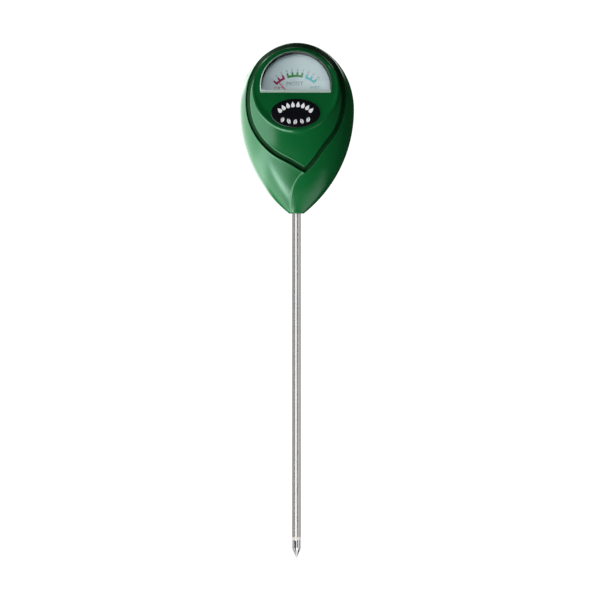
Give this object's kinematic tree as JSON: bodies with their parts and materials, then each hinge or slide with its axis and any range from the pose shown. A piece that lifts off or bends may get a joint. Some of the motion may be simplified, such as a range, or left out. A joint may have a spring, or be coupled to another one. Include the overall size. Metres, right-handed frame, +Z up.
{
  "type": "soil moisture meter",
  "caption": "Soil moisture meter: egg-shaped green head with a dial window and oval badge, moving-coil needle inside, on a long round two-electrode probe with a pointed tip.",
  "frame": {"origin": "on the probe's axis, where the exposed probe meets the underside of the head", "axes": "+Z runs up along the probe through the head, the dial faces -Y, +X is the reader's right"},
  "size_m": [0.0644, 0.037, 0.2884],
  "materials": {
    "green_shell": "moulded ABS, satin gloss",
    "clear_plastic": "clear moulded acrylic",
    "badge_black": "gloss black label plate with white print",
    "dial_grey": "printed pale grey-blue dial",
    "screw_steel": "zinc-plated steel",
    "brass_parts": "turned brass",
    "needle_red": "red lacquer",
    "aluminium_former": "bright aluminium",
    "copper_wire": "enamelled copper wire",
    "spring_bronze": "phosphor bronze",
    "magnet": "cast magnet",
    "soft_iron": "soft iron",
    "black_plastic": "moulded black plastic",
    "probe_metal": "drawn tube, satin",
    "liner_plastic": "extruded sleeve",
    "ring_plastic": "moulded ivory plastic",
    "tip_metal": "bright plated metal",
    "tinned_lug": "tinned",
    "lead_red_sleeve": "red insulation",
    "lead_black_sleeve": "black insulation"
  },
  "bodies": {
    "case": {"front_housing": "green_shell", "rear_housing": "green_shell", "housing_screws": "screw_steel", "window_lens": "clear_plastic", "badge_plate": "badge_black", "dial_surround": "dial_grey", "dial_plate": "dial_grey", "dial_screws": "screw_steel", "needle_stops": "brass_parts", "upper_hairspring": "spring_bronze", "lower_hairspring": "spring_bronze", "upper_jewel_screw": "brass_parts", "lower_jewel_screw": "brass_parts", "upper_bridge": "brass_parts", "lower_bridge": "brass_parts", "magnet_core": "magnet", "yoke_ring": "soft_iron", "core_holders": "brass_parts", "movement_frame": "black_plastic", "movement_screws": "screw_steel", "terminal_positive": "brass_parts", "terminal_negative": "brass_parts", "probe_tube": "probe_metal", "probe_liner": "liner_plastic", "insulator_ring": "ring_plastic", "probe_tip": "tip_metal", "core_rod": "brass_parts", "probe_collar": "black_plastic", "sheath_lug": "tinned_lug", "core_lug": "tinned_lug", "core_nut": "brass_parts", "lead_red": "lead_red_sleeve", "lead_black": "lead_black_sleeve"},
    "needle": {"pointer_needle": "needle_red", "pointer_hub": "brass_parts", "balance_weights": "brass_parts", "coil_former": "aluminium_former", "coil_winding": "copper_wire", "upper_pivot": "screw_steel", "lower_pivot": "screw_steel"},
    "adjuster": {"zero_adjuster": "brass_parts"}
  },
  "joints": [
    {"name": "needle_swing", "type": "hinge", "parent": "case", "child": "needle", "pos_m": [0, -0.01633, 0.0637], "axis": [0, 0.9659, -0.2588], "range_deg": [0, 80], "stiffness_Nm_per_rad": 0.0002},
    {"name": "zero_adjust", "type": "hinge", "parent": "case", "child": "adjuster", "pos_m": [0, -0.01633, 0.0637], "axis": [0, 0.9659, -0.2588], "range_deg": [-10, 10]}
  ]
}
